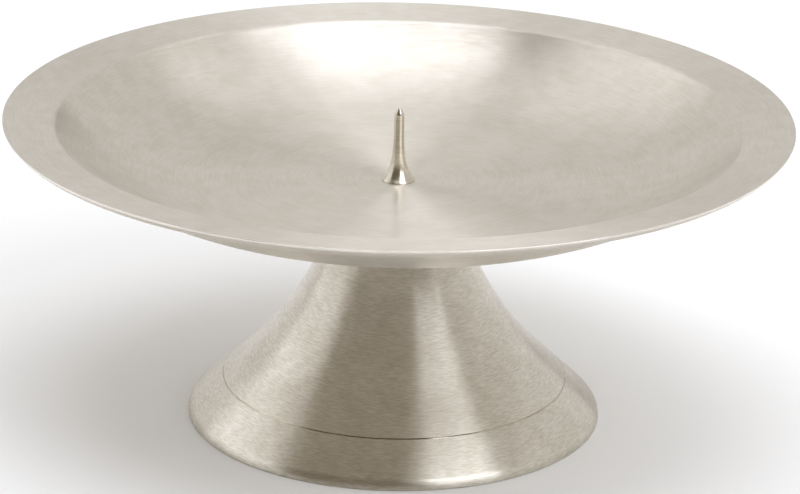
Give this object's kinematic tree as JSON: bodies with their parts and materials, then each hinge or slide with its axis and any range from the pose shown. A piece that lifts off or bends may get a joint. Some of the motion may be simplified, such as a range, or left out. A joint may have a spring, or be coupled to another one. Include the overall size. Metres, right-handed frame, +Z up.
{
  "type": "pricket candle holder",
  "caption": "Pricket candle holder: a wide shallow metal dish with a slim spike for a candle, on a hollow trumpet foot with a turned groove.",
  "frame": {"origin": "on the axis, in the plane the foot stands on", "axes": "+Z up along the turned axis; X and Y lie in the ground plane, and the lock washer's split faces +X"},
  "size_m": [0.15, 0.15, 0.0617],
  "materials": {
    "satin_nickel": "nickel plated and brushed round the axis to a satin sheen",
    "bright_nickel": "turned and nickel plated, brighter than the dish",
    "zinc_plated_steel": "zinc plated fasteners"
  },
  "bodies": {
    "root": {"dish": "satin_nickel", "foot": "satin_nickel", "pricket": "bright_nickel", "flat_washer": "zinc_plated_steel", "lock_washer": "zinc_plated_steel", "hex_nut": "zinc_plated_steel"}
  },
  "joints": []
}
